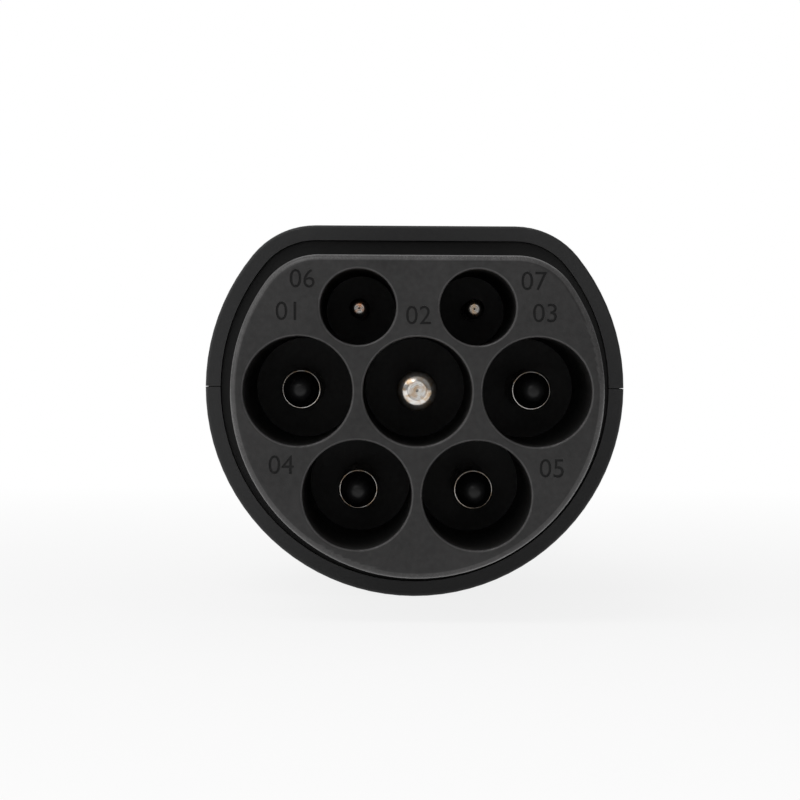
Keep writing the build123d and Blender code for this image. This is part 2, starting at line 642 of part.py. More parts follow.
def make_gland_claw():
    """Slotted ring that the nut's cone presses round the cable seal."""
    claw = turned([
        (CLAW_BORE, CLAW_FOOT_Y), (CLAW_RADIUS, CLAW_FOOT_Y), (CLAW_RADIUS, MOUTH_Y),
        (CLAW_RADIUS + CLAW_RIDGE, MOUTH_Y + CLAW_RIDGE), (CLAW_RADIUS, CLAW_END_Y), (CLAW_BORE, CLAW_END_Y),
    ])
    slot_length = CLAW_REACH - CLAW_RIDGE
    slot = Box(REACH, slot_length, CLAW_SLOT)
    for step in range(CLAW_FINGERS // 2):
        turn = Rot(0, step * 360 / CLAW_FINGERS, 0)
        claw -= Pos(0, CLAW_END_Y - slot_length / 2, 0) * turn * slot
    return Pos(0, 0, -DROP) * claw


def make_gland_seal():
    seal = turned([
        (CABLE_BORE_RADIUS, CLAW_FOOT_Y), (SEAL_RADIUS, CLAW_FOOT_Y),
        (SEAL_RADIUS, CLAW_END_Y), (CABLE_BORE_RADIUS, CLAW_END_Y),
    ])
    return Pos(0, 0, -DROP) * seal


def make_gland_nut():
    """Hexagon with a domed end; its inner cone closes the claw."""
    front = END_Y + GLAND_PLAY
    hex_back = front + NUT_HEX_LENGTH
    back = hex_back + NUT_DOME_LENGTH
    flat_radius = NECK_RADIUS + NUT_FLAT_WALL
    corner_radius = flat_radius / cos(radians(30))
    dome_radius = NECK_RADIUS + NUT_DOME_WALL
    mouth = CLAW_RADIUS + PLAY
    thread = NECK_RADIUS + CREST
    blank = Polyline(
        (dome_radius, front), (corner_radius, front + NUT_CHAMFER),
        (corner_radius, hex_back - NUT_CHAMFER), (dome_radius, hex_back),
    )
    rim = (mouth + NUT_MOUTH_WALL / 2, back)
    dome = TangentArc((dome_radius, hex_back), rim, tangent=(0, 1))
    inside = Polyline(
        rim, (mouth, back), (mouth, CLAW_END_Y), (thread, MOUTH_Y + CREST), (thread, front),
        (dome_radius, front),
    )
    nut = revolve(make_face([blank, dome, inside]), Axis.Y)
    hexagon = RegularPolygon(flat_radius, 6, major_radius=False)
    return Pos(0, 0, -DROP) * (nut & slab(hexagon, front, back))


# ---------------------------------------------------------------- write every piece
def all_pieces():
    housing = hollow_housing()
    pieces = {
        "contact_carrier": make_contact_carrier(),
        "contact_seal": make_contact_seal(),
        "rear_retainer": make_rear_retainer(),
        "retainer_screws": make_retainer_screws(),
        "front_gasket": make_front_gasket(),
        "coding_board": make_coding_board(),
        "coding_resistor": make_coding_resistor(),
        "upper_shell": make_upper_shell(housing),
        "lower_shell": make_lower_shell(housing),
        "shell_screws": make_shell_screws(),
        "shell_inserts": make_shell_inserts(),
        "gland_gasket": make_gland_gasket(),
        "gland_body": make_gland_body(),
        "gland_claw": make_gland_claw(),
        "gland_seal": make_gland_seal(),
        "gland_nut": make_gland_nut(),
    }
    for name, place in POWER_PLACES.items():
        if name == "earth_pin":
            pieces[name] = make_earth_pin(place)
        else:
            pieces[name] = make_line_pin(place)
            pieces[name.replace("pin", "tip")] = make_pin_tip(place)
    for name, place in SIGNAL_PLACES.items():
        pieces[name] = make_signal_pin(place)
    return pieces


os.makedirs("parts", exist_ok=True)
for name, piece in all_pieces().items():
    export_step(piece, f"parts/{name}.step")
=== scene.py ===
from math import cos, pi, radians, sin

import bmesh
import bpy
from bpy.props import FloatProperty, FloatVectorProperty, IntProperty, PointerProperty
from bpy.types import Operator, Panel, PropertyGroup
from mathutils import Matrix, Vector


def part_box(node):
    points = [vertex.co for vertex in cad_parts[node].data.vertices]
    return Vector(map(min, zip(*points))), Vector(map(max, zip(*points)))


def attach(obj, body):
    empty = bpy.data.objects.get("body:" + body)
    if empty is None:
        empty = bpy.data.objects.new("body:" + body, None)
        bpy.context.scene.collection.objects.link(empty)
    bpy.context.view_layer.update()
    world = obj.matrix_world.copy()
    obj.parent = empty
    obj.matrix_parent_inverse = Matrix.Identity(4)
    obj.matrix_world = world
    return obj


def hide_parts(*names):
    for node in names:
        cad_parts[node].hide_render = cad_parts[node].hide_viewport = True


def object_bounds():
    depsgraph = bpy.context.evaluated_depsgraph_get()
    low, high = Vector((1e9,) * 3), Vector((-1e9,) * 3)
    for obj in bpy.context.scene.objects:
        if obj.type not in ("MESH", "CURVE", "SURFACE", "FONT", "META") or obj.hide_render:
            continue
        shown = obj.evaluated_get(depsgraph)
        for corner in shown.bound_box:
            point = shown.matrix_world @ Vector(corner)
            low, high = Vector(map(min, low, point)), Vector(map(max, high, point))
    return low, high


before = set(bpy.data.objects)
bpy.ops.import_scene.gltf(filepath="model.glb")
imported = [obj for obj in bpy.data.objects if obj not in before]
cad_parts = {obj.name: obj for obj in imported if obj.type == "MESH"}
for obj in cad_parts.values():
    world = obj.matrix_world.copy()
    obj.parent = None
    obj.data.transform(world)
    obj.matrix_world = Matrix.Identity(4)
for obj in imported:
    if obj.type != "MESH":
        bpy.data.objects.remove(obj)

bl_info = {
    "name": "Charging plug dresser",
    "version": (1, 0, 0),
    "blender": (4, 5, 0),
    "location": "3D View > Sidebar > Charging plug",
    "description": "Finishes the seven-pole charging plug: grained plastic, turned pins, grip ribs and stage",
    "category": "Object",
}

# ---------------------------------------------------------------- values read from the frame
MM = 0.001
CAD_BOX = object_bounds()
BODY = "root"
LINE_PINS = ("line_pin_1", "line_pin_2", "line_pin_3", "neutral_pin")
LINE_TIPS = ("line_tip_1", "line_tip_2", "line_tip_3", "neutral_tip")
SIGNAL_PINS = ("proximity_pin", "pilot_pin")


def centre(node):
    """The middle of a node's box, which is on its axis."""
    low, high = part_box(node)
    return (low + high) / 2


def front_of(node):
    """The y of a node's end that points at the socket."""
    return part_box(node)[0].y


def back_of(node):
    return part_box(node)[1].y


FACE_Y = front_of("contact_carrier")
GLAND_AXIS = centre("gland_nut")
NUT_END_Y = back_of("gland_nut")
NUT_DOME_LENGTH = 11.0 * MM
NUT_DOME_STEP = 0.6 * MM      # the dome's side lies this far inside the nut's flats
NUT_DOME_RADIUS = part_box("gland_nut")[1].z - GLAND_AXIS.z - NUT_DOME_STEP


# ---------------------------------------------------------------- sizes and colours a user may change
class PlugFinish(PropertyGroup):
    housing_colour: FloatVectorProperty(
        name="Housing colour", description="Plastic of the two shells",
        subtype="COLOR", size=3, min=0, max=1, default=(0.034, 0.034, 0.0345),
    )
    nose_colour: FloatVectorProperty(
        name="Nose colour", description="Plastic of the contact carrier",
        subtype="COLOR", size=3, min=0, max=1, default=(0.037, 0.036, 0.036),
    )
    rubber_colour: FloatVectorProperty(
        name="Rubber colour", description="Gaskets and seals",
        subtype="COLOR", size=3, min=0, max=1, default=(0.011, 0.011, 0.011),
    )
    pin_colour: FloatVectorProperty(
        name="Pin colour", description="Plating of the contact pins",
        subtype="COLOR", size=3, min=0, max=1, default=(0.78, 0.76, 0.73),
    )
    grain_size: FloatProperty(
        name="Grain size", description="Width of one speck of the plastic's grain",
        subtype="DISTANCE", min=0.05 * MM, max=2 * MM, default=0.28 * MM,
    )
    grain_depth: FloatProperty(
        name="Grain depth", description="How far the grain stands out",
        subtype="DISTANCE", min=0, max=0.2 * MM, default=0.018 * MM,
    )
    numeral_height: FloatProperty(
        name="Numeral height", description="Height of the numbers beside the wells",
        subtype="DISTANCE", min=1 * MM, max=5 * MM, default=2.7 * MM,
    )
    numeral_depth: FloatProperty(
        name="Numeral depth", description="How deep the numbers are sunk into the nose",
        subtype="DISTANCE", min=0.05 * MM, max=0.6 * MM, default=0.35 * MM,
    )


class PlugTurning(PropertyGroup):
    ring_pitch: FloatProperty(
        name="Turning mark pitch", description="Distance between the lathe's rings on a pin's end",
        subtype="DISTANCE", min=0.05 * MM, max=1 * MM, default=0.26 * MM,
    )
    ring_depth: FloatProperty(
        name="Turning mark depth", description="Depth of the lathe's rings on a pin's end",
        subtype="DISTANCE", min=0, max=0.1 * MM, default=0.004 * MM,
    )
    rib_count: IntProperty(
        name="Nut ribs", description="Grip ribs round the nut's dome", min=6, max=60, default=30,
    )
    rib_radius: FloatProperty(
        name="Nut rib radius", description="Half the thickness of one grip rib",
        subtype="DISTANCE", min=0.1 * MM, max=1 * MM, default=0.45 * MM,
    )


class PlugStage(PropertyGroup):
    camera_distance: FloatProperty(
        name="Camera distance", description="From the contact face to the camera",
        subtype="DISTANCE", min=0.1, max=2, default=0.388,
    )
    key_power: FloatProperty(
        name="Key lamp", description="Power of the large soft lamp overhead", min=0, max=100, default=0.8,
    )
    front_power: FloatProperty(
        name="Front lamp", description="Power of the wide lamp high on the front left",
        min=0, max=100, default=0.35,
    )
    side_power: FloatProperty(
        name="Side lamp", description="Power of the weaker lamps on the left and behind",
        min=0, max=100, default=0.6,
    )
    room_light: FloatProperty(
        name="Room light", description="Strength of the light from all sides", min=0, max=2, default=0.46,
    )


# ---------------------------------------------------------------- node and mesh helpers
def new_material(name):
    """A new material, its node tree and its shader."""
    material = bpy.data.materials.new(name)
    material.use_nodes = True
    tree = material.node_tree
    return material, tree, tree.nodes["Principled BSDF"]


def add(tree, kind, **values):
    """Add a shader node; a value goes to the input, or else the property, of that name."""
    node = tree.nodes.new(kind)
    for name, value in values.items():
        socket = node.inputs.get(name.replace("_", " "))
        if socket is not None:
            socket.default_value = value
        else:
            setattr(node, name, value)
    return node


def noise(tree, coordinates, size, detail=3.0):
    """Noise whose specks are about size metres wide."""
    node = add(tree, "ShaderNodeTexNoise", Scale=1 / size, Detail=detail, Roughness=0.55)
    tree.links.new(coordinates, node.inputs["Vector"])
    return node.outputs["Fac"]


def ranged(tree, value, low, high, start=0.3, stop=0.7):
    """Value from start to stop made to run from low to high, and held there outside it."""
    node = add(tree, "ShaderNodeMapRange")
    node.inputs["From Min"].default_value = start
    node.inputs["From Max"].default_value = stop
    node.inputs["To Min"].default_value = low
    node.inputs["To Max"].default_value = high
    tree.links.new(value, node.inputs["Value"])
    return node.outputs["Result"]


def colour_mix(tree, share, first, second):
    """Colour that goes from first to second as share goes from 0 to 1."""
    node = add(tree, "ShaderNodeMix", data_type="RGBA")
    sockets = {socket.identifier: socket for socket in (*node.inputs, *node.outputs)}
    sockets["A_Color"].default_value = (*first, 1)
    sockets["B_Color"].default_value = (*second, 1)
    tree.links.new(share, sockets["Factor_Float"])
    return sockets["Result_Color"]


def bumped(tree, height, distance):
    """Normal of a surface that height raises by up to distance metres."""
    node = add(tree, "ShaderNodeBump", Distance=distance)
    tree.links.new(height, node.inputs["Height"])
    return node.outputs["Normal"]


def tinted(colour, factor):
    """The colour made lighter or darker."""
    return tuple(min(1.0, channel * factor) for channel in colour)


def moulded_plastic(name, colour, grain, depth, shine=0.5, blotch=0.1, gloss=0.3):
    """Filled nylon: spark-eroded grain, faint flow blotches and a slightly uneven shine."""
    material, tree, shader = new_material(name)
    place = add(tree, "ShaderNodeTexCoord").outputs["Object"]
    fine = noise(tree, place, grain)
    flow = noise(tree, place, 9 * MM, detail=4.0)
    mottle = noise(tree, place, 0.9 * MM, detail=4.0)
    shade = add(tree, "ShaderNodeMath", operation="ADD")
    tree.links.new(ranged(tree, flow, 0, 0.5), shade.inputs[0])
    tree.links.new(ranged(tree, mottle, 0, 0.5), shade.inputs[1])
    pale = colour_mix(tree, shade.outputs[0], tinted(colour, 1 - blotch), tinted(colour, 1 + blotch))
    tree.links.new(pale, shader.inputs["Base Color"])
    speck = add(tree, "ShaderNodeMath", operation="ADD")
    tree.links.new(ranged(tree, fine, -0.06, 0.06), speck.inputs[0])
    tree.links.new(ranged(tree, flow, shine - 0.03, shine + 0.03), speck.inputs[1])
    tree.links.new(speck.outputs[0], shader.inputs["Roughness"])
    tree.links.new(bumped(tree, fine, depth), shader.inputs["Normal"])
    shader.inputs["Specular IOR Level"].default_value = gloss
    return material


EDGE_HIGHLIGHT_TINT = 2.4           # how much lighter the plastic is painted on its rounded edges: a painted highlight
EDGE_ROUGHNESS = 0.65     # and how much of its roughness is left there
NUMERAL_SHADE_TINT = 0.2            # how much of its colour is left on a number's floor: painted shade of the sunk numbers


def paint_edge_highlight_and_numeral_shade(material):
    """Lighter, smoother plastic on the face's rounded edges, a painted highlight, and darker plastic on the
    numbers' floors, painted shade.
    """
    tree = material.node_tree
    shader = tree.nodes["Principled BSDF"]
    edge_highlight = add(tree, "ShaderNodeAttribute", attribute_name="painted_edge_highlight").outputs["Fac"]
    numeral_shade = add(tree, "ShaderNodeAttribute", attribute_name="painted_numeral_shade").outputs["Fac"]
    # painted highlight on the rounded edges; painted shade on the numbers' floors
    factor = times(tree, ranged(tree, edge_highlight, 1.0, EDGE_HIGHLIGHT_TINT, 0, 1), ranged(tree, numeral_shade, 1.0, NUMERAL_SHADE_TINT, 0, 1))
    tint = add(tree, "ShaderNodeVectorMath", operation="SCALE")
    tree.links.new(shader.inputs["Base Color"].links[0].from_socket, tint.inputs[0])
    tree.links.new(factor, tint.inputs["Scale"])
    tree.links.new(tint.outputs[0], shader.inputs["Base Color"])
    rough = times(
        tree, shader.inputs["Roughness"].links[0].from_socket, ranged(tree, edge_highlight, 1.0, EDGE_ROUGHNESS, 0, 1)
    )
    tree.links.new(rough, shader.inputs["Roughness"])


def times(tree, *factors):
    """Product of several sockets."""
    product = factors[0]
    for factor in factors[1:]:
        node = add(tree, "ShaderNodeMath", operation="MULTIPLY")
        tree.links.new(product, node.inputs[0])
        tree.links.new(factor, node.inputs[1])
        product = node.outputs[0]
    return product


def soft_rubber(name, colour):
    """Dull rubber with a little dust."""
    material, tree, shader = new_material(name)
    place = add(tree, "ShaderNodeTexCoord").outputs["Object"]
    fine = noise(tree, place, 0.35 * MM)
    dust = noise(tree, place, 4 * MM, detail=5.0)
    shade = colour_mix(tree, ranged(tree, dust, 0, 1), colour, tinted(colour, 1.6))
    tree.links.new(shade, shader.inputs["Base Color"])
    tree.links.new(ranged(tree, dust, 0.72, 0.85), shader.inputs["Roughness"])
    tree.links.new(bumped(tree, fine, 0.02 * MM), shader.inputs["Normal"])
    shader.inputs["Specular IOR Level"].default_value = 0.3
    return material


def turned_metal(name, colour, rough, tarnish):
    """Plated metal with tarnish in patches; the lathe's rings are in the mesh."""
    material, tree, shader = new_material(name)
    shader.inputs["Metallic"].default_value = 1.0
    coordinates = add(tree, "ShaderNodeTexCoord").outputs["Object"]
    patches = noise(tree, coordinates, 0.9 * MM, detail=3.0)
    shade = colour_mix(tree, ranged(tree, patches, 0, 1, 0.42, 0.66), colour, tarnish)
    tree.links.new(shade, shader.inputs["Base Color"])
    tree.links.new(ranged(tree, patches, rough, rough + 0.12), shader.inputs["Roughness"])
    return material


def plain_metal(name, colour, rough):
    """Screw or insert metal with a faintly uneven shine."""
    material, tree, shader = new_material(name)
    shader.inputs["Metallic"].default_value = 1.0
    coordinates = add(tree, "ShaderNodeTexCoord").outputs["Object"]
    patches = noise(tree, coordinates, 1.2 * MM, detail=4.0)
    shade = colour_mix(tree, ranged(tree, patches, 0, 1), tinted(colour, 0.85), colour)
    tree.links.new(shade, shader.inputs["Base Color"])
    tree.links.new(ranged(tree, patches, rough, rough + 0.15), shader.inputs["Roughness"])
    tree.links.new(bumped(tree, noise(tree, coordinates, 0.2 * MM), 0.008 * MM), shader.inputs["Normal"])
    return material


def link(obj):
    """Put an object into the scene."""
    bpy.context.scene.collection.objects.link(obj)
    return obj


def mesh_object(name, mesh, material):
    """Object of a mesh in one material."""
    obj = link(bpy.data.objects.new(name, mesh))
    mesh.materials.clear()
    mesh.materials.append(material)
    return obj


def evaluated_mesh(obj):
    """Plain mesh of an object with its modifiers applied."""
    bpy.context.view_layer.update()
    graph = bpy.context.evaluated_depsgraph_get()
    return bpy.data.meshes.new_from_object(obj.evaluated_get(graph), depsgraph=graph)


MOULDED_ANGLE = 28        # degrees between two faces from which their edge stays sharp
TURNED_ANGLE = 30
RIB_ANGLE = 40


def smoothed(mesh, angle=MOULDED_ANGLE):
    """Smooth shading that keeps edges sharper than angle, in degrees."""
    mesh.polygons.foreach_set("use_smooth", [True] * len(mesh.polygons))
    mesh.set_sharp_from_angle(angle=radians(angle))
    return mesh


def merged_copy(node):
    """Copy of a CAD node's mesh with its loose triangles joined."""
    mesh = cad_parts[node].data.copy()
    if mesh.has_custom_normals:
        mesh.attributes.remove(mesh.attributes["custom_normal"])
    work = bmesh.new()
    work.from_mesh(mesh)
    bmesh.ops.remove_doubles(work, verts=work.verts, dist=0.002 * MM)
    bmesh.ops.dissolve_degenerate(work, edges=work.edges, dist=0.0005 * MM)
    work.to_mesh(mesh)
    work.free()
    return mesh


def weighted(obj):
    """Let large flat faces keep their own direction beside small rounded edges."""
    modifier = obj.modifiers.new("Weighted normals", "WEIGHTED_NORMAL")
    modifier.keep_sharp = True
    modifier.weight = 80
    mesh = evaluated_mesh(obj)
    obj.modifiers.remove(modifier)
    old = obj.data
    obj.data = mesh
    bpy.data.meshes.remove(old)
    return obj


def dress(node, name, material, slot_name):
    """Show a CAD node as a smooth-shaded copy in the given material."""
    obj = mesh_object(name, smoothed(merged_copy(node)), material)
    weighted(obj)
    return finish_piece(obj, slot_name, node)


LATHE_SEGMENTS = 120


def lathe(name, profile, place, material):
    """Turned piece from (radius, y) points in metres, about the axis along Y through place."""
    turns = [2 * pi * step / LATHE_SEGMENTS for step in range(LATHE_SEGMENTS)]
    work = bmesh.new()
    rows = []
    for radius, y in profile:
        if radius == 0:
            rows.append([work.verts.new((place.x, y, place.z))])
            continue
        rows.append([
            work.verts.new((place.x + radius * cos(turn), y, place.z + radius * sin(turn))) for turn in turns
        ])
    for first, second in zip(rows, rows[1:]):
        for step in range(LATHE_SEGMENTS):
            after = (step + 1) % LATHE_SEGMENTS
            ring = [first[step % len(first)], second[step % len(second)]]
            ring += [second[after % len(second)], first[after % len(first)]]
            work.faces.new(list(dict.fromkeys(ring)))
    bmesh.ops.recalc_face_normals(work, faces=work.faces)
    mesh = bpy.data.meshes.new(name)
    work.to_mesh(mesh)
    work.free()
    return mesh_object(name, smoothed(mesh, TURNED_ANGLE), material)


def finish_piece(obj, slot_name, *nodes):
    """Fix a piece to the part's body, in place of the CAD nodes it stands for; slot_name is not used."""
    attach(obj, BODY)
    if nodes:
        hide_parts(*nodes)
    return obj


def paint(node, material):
    """Give a CAD node that keeps its own mesh a new material."""
    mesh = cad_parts[node].data
    mesh.materials.clear()
    mesh.materials.append(material)


# ---------------------------------------------------------------- housing
class PLUG_OT_housing(Operator):
    """Two shells of grained plastic, with their smooth form shown smooth"""

    bl_idname = "plug.housing"
    bl_label = "Housing"

    def execute(self, context):
        finish = context.scene.plug_finish
        plastic = moulded_plastic(
            "housing grained plastic", finish.housing_colour, finish.grain_size, finish.grain_depth,
            shine=0.5,
        )
        for node in ("upper_shell", "lower_shell"):
            dress(node, node.replace("_shell", "_housing"), plastic, "housing_plastic")
        return {"FINISHED"}


# ---------------------------------------------------------------- contact carrier with sunk numbers
DIGIT_SHARE = 0.7     # how high a digit is in a font of size 1
# Number, and where its middle is from the earth pin's axis, in millimetres.
NUMERALS = (
    ("01", -18.7, 11.4), ("02", 0.1, 10.9), ("03", 18.4, 11.3), ("04", -19.6, -10.8),
    ("05", 19.5, -11.1), ("06", -16.7, 16.1), ("07", 16.7, 15.9),
)


def numeral_cutters(height, depth):
    """Prisms in the form of the numbers, standing through the contact face."""
    cutters = []
    for text, x, z in NUMERALS:
        curve = bpy.data.curves.new("numeral " + text, "FONT")
        curve.body = text
        curve.align_x = "CENTER"
        curve.align_y = "CENTER"
        curve.size = height / DIGIT_SHARE
        curve.extrude = depth
        curve.resolution_u = 4
        source = link(bpy.data.objects.new("numeral " + text, curve))
        mesh = evaluated_mesh(source)
        bpy.data.objects.remove(source)
        lift = Matrix.Rotation(radians(90), 4, "X")
        mesh.transform(Matrix.Translation((x * MM, FACE_Y, z * MM)) @ lift)
        cutters.append(mesh)
    return cutters


def joined(meshes, name):
    """One mesh from several, which are used up, with any object that showed them."""
    work = bmesh.new()
    for mesh in meshes:
        work.from_mesh(mesh)
        bpy.data.meshes.remove(mesh)
    bmesh.ops.remove_doubles(work, verts=work.verts, dist=0.0005 * MM)
    bmesh.ops.recalc_face_normals(work, faces=work.faces)
    whole = bpy.data.meshes.new(name)
    work.to_mesh(whole)
    work.free()
    return whole


EDGE_DEPTH = (0.03 * MM, 1.2 * MM)      # behind the face, where its rounded edges lie
EDGE_LEAN = (0.3, 0.94)                 # of their normals: 1 is straight ahead
FLAT_LEAN = 0.999


def mark_edges_and_numbers(mesh, floor_y):
    """Mark the face's rounded edges, where a highlight is painted, and the numbers' floors, where shade is
    painted.
    """
    edge_highlight = mesh.attributes.new("painted_edge_highlight", "FLOAT", "POINT")
    numeral_shade = mesh.attributes.new("painted_numeral_shade", "FLOAT", "POINT")
    for vertex in mesh.vertices:
        deep = EDGE_DEPTH[0] < vertex.co.y - FACE_Y < EDGE_DEPTH[1]
        leaning = EDGE_LEAN[0] < -vertex.normal.y < EDGE_LEAN[1]
        # rounded edges of the face, marked for a painted highlight
        edge_highlight.data[vertex.index].value = float(deep and leaning)
    # the numbers' floors, marked for painted shade where the sunk numbers lie in shadow
    for face in mesh.polygons:
        sunk = all(abs(mesh.vertices[index].co.y - floor_y) < 0.01 * MM for index in face.vertices)
        if sunk and face.normal.y < -FLAT_LEAN:
            for index in face.vertices:
                numeral_shade.data[index].value = 1.0
                edge_highlight.data[index].value = 0.0


class PLUG_OT_contact_carrier(Operator):
    """Nose with its seven wells, and a plain number sunk beside each well"""

    bl_idname = "plug.contact_carrier"
    bl_label = "Contact carrier"

    def execute(self, context):
        finish = context.scene.plug_finish
        plastic = moulded_plastic(
            "nose grained plastic", finish.nose_colour, finish.grain_size * 0.9, finish.grain_depth,
            shine=0.4, blotch=0.3,
        )
        nose = mesh_object("contact_nose", merged_copy("contact_carrier"), plastic)
        cutter = link(bpy.data.objects.new(
            "numeral cutter", joined(numeral_cutters(finish.numeral_height, finish.numeral_depth), "numerals")
        ))
        sink = nose.modifiers.new("Sunk numbers", "BOOLEAN")
        sink.operation = "DIFFERENCE"
        sink.solver = "EXACT"
        sink.object = cutter
        carved = evaluated_mesh(nose)
        nose.modifiers.remove(sink)
        nose.data = smoothed(carved)
        bpy.data.objects.remove(cutter)
        mark_edges_and_numbers(nose.data, FACE_Y + finish.numeral_depth)
        # painted highlight on the rounded edges, painted shade on the numbers' floors
        paint_edge_highlight_and_numeral_shade(plastic)
        weighted(nose)
        finish_piece(nose, "carrier_plastic", "contact_carrier")
        return {"FINISHED"}


class PLUG_OT_gasket(Operator):
    """Rubber ring between the nose and the housing's lip"""

    bl_idname = "plug.gasket"
    bl_label = "Front gasket"

    def execute(self, context):
        rubber = soft_rubber("gasket rubber", context.scene.plug_finish.rubber_colour)
        dress("front_gasket", "nose_gasket", rubber, "rubber_seal")
        return {"FINISHED"}


# ---------------------------------------------------------------- pins
# Millimetres, as in the part: the radius of a pin and of what follows it behind its well's floor.
# The step in the pin's seat is out of sight there, and is left out.
POWER_PIN = {"radius": 3.0, "collar": 4.5, "tail": 3.5, "bore": 2.0}
SIGNAL_PIN = {"radius": 1.5, "collar": 2.5, "tail": 1.8, "bore": 0.95}
SEAT_END_Y = 5.0
COLLAR_END_Y = 8.0
TAIL_END_Y = 16.2
BORE_FLOOR_Y = 17.2
EARTH_DOME = {"nose": 1.45, "height": 1.15, "dimple": 0.13}
SIGNAL_DOME = {"nose": 0.8, "height": 0.9, "dimple": 0.1}
SOCKET_RADIUS = 1.25      # of the hole for a tip's peg in a line pin's end
SOCKET_DEPTH = 5.5
LINE_PIN_ROUND = 0.22
FOOT_RING_WIDTH = 0.25    # of the plastic that closes the slit round a pin's foot
FOOT_RING = (0.01, 0.6)   # from its front to its back
TIP_PEG_RADIUS = 1.2
TIP_PEG_LENGTH = 5.0
TIP_FOOT_RADIUS = 2.75
TIP_NOSE_RADIUS = 1.35    # where the bullet's side would meet the tip's end
TIP_LENGTH = 7.5
TIP_WORN_LENGTH = 0.9     # of the tip's end, rounded off
TIP_WORN_CORNER = 1.42    # radius to which the rounding is drawn
TIP_WORN_FLAT = 0.25      # radius of what stays flat


def metres(points):
    """Profile in metres from one in millimetres."""
    return [(radius * MM, y * MM) for radius, y in points]


def tail_profile(pin, back_y):
    """Points from the end of the pin's seat to the crimp barrel's bore."""
    return [
        (pin["radius"], SEAT_END_Y), (pin["collar"], SEAT_END_Y), (pin["collar"], COLLAR_END_Y),
        (pin["tail"], COLLAR_END_Y), (pin["tail"], TAIL_END_Y), (pin["radius"], TAIL_END_Y),
        (pin["radius"], back_y), (pin["bore"], back_y), (pin["bore"], BORE_FLOOR_Y), (0, BORE_FLOOR_Y),
    ]


def rounded_corner(radius, y, size, steps=8):
    """Quarter round from a flat end at y out to a pin's side."""
    turns = [radians(90) * step / steps for step in range(steps + 1)]
    return [(radius - size + size * sin(turn), y + size - size * cos(turn)) for turn in turns]


def turned_dome(pin_radius, dome, front_y, pitch, groove, steps=90):
    """Points from a pin's centre mark over its grooved flat and its elliptical dome."""
    nose, height, dimple = dome["nose"], dome["height"], dome["dimple"]
    side_y = front_y + height * (1 - (nose / pin_radius) ** 2) ** 0.5
    points = [(0, front_y + dimple), (dimple * 0.8, front_y + dimple * 0.75), (dimple * 1.6, front_y)]
    start = points[-1][0]
    for step in range(1, steps + 1):
        radius = start + (pin_radius - start) * sin(radians(90) * step / steps)
        if radius < nose - 0.1:
            points.append((radius, front_y + groove * (0.5 - 0.5 * cos(2 * pi * (radius - start) / pitch))))
        elif radius >= nose:
            if points[-1][0] < nose:
                # a fine groove parts the flat from the dome
                points += [(nose - 0.09, front_y), (nose - 0.05, front_y + 0.05), (nose - 0.01, front_y)]
            points.append((radius, side_y - height * max(0, 1 - (radius / pin_radius) ** 2) ** 0.5))
    return points


def tip_profile(front, steps=24, worn_steps=16):
    """Bullet whose side is an arc, straight at the foot, with its end widely rounded off."""
    foot_y = front + TIP_LENGTH
    run = TIP_FOOT_RADIUS - TIP_NOSE_RADIUS
    bend = (TIP_LENGTH ** 2 + run * run) / (2 * run)
    side = []
    for step in range(steps + 1):
        rise = TIP_LENGTH * step / steps
        side.append((TIP_FOOT_RADIUS - bend + (bend * bend - rise * rise) ** 0.5, foot_y - rise))
    points = [(radius, y) for radius, y in side if y > front + TIP_WORN_LENGTH]
    start_radius, start_y = points[-1]
    for step in range(1, worn_steps + 1):
        share = step / worn_steps
        bow = (1 - share) ** 2, 2 * share * (1 - share), share * share
        radius = bow[0] * start_radius + bow[1] * TIP_WORN_CORNER + bow[2] * TIP_WORN_FLAT
        points.append((radius, bow[0] * start_y + bow[1] * (front + 0.02) + bow[2] * front))
    peg = [(0, foot_y + TIP_PEG_LENGTH), (TIP_PEG_RADIUS, foot_y + TIP_PEG_LENGTH), (TIP_PEG_RADIUS, foot_y)]
    return [*peg, *points, (0, front)]


def turned_piece(node, name, profile, material, slot_name):
    """Lathe a piece on a CAD node's axis and show it instead of the node."""
    return finish_piece(lathe(name, metres(profile), centre(node), material), slot_name, node)


def foot_rings(material):
    """Thin rings of the nose's plastic round the pins' feet, as one piece."""
    front, back = FOOT_RING
    rings = []
    for node in (*LINE_PINS, "earth_pin", *SIGNAL_PINS):
        inner = (SIGNAL_PIN if node in SIGNAL_PINS else POWER_PIN)["radius"]
        outer = inner + FOOT_RING_WIDTH
        profile = [(inner, front), (outer, front), (outer, back), (inner, back), (inner, front)]
        rings.append(lathe("foot ring", metres(profile), centre(node), material).data)
    piece = mesh_object("pin_foot_rings", joined(rings, "pin_foot_rings"), material)
    smoothed(piece.data, TURNED_ANGLE)
    return finish_piece(piece, "carrier_plastic")


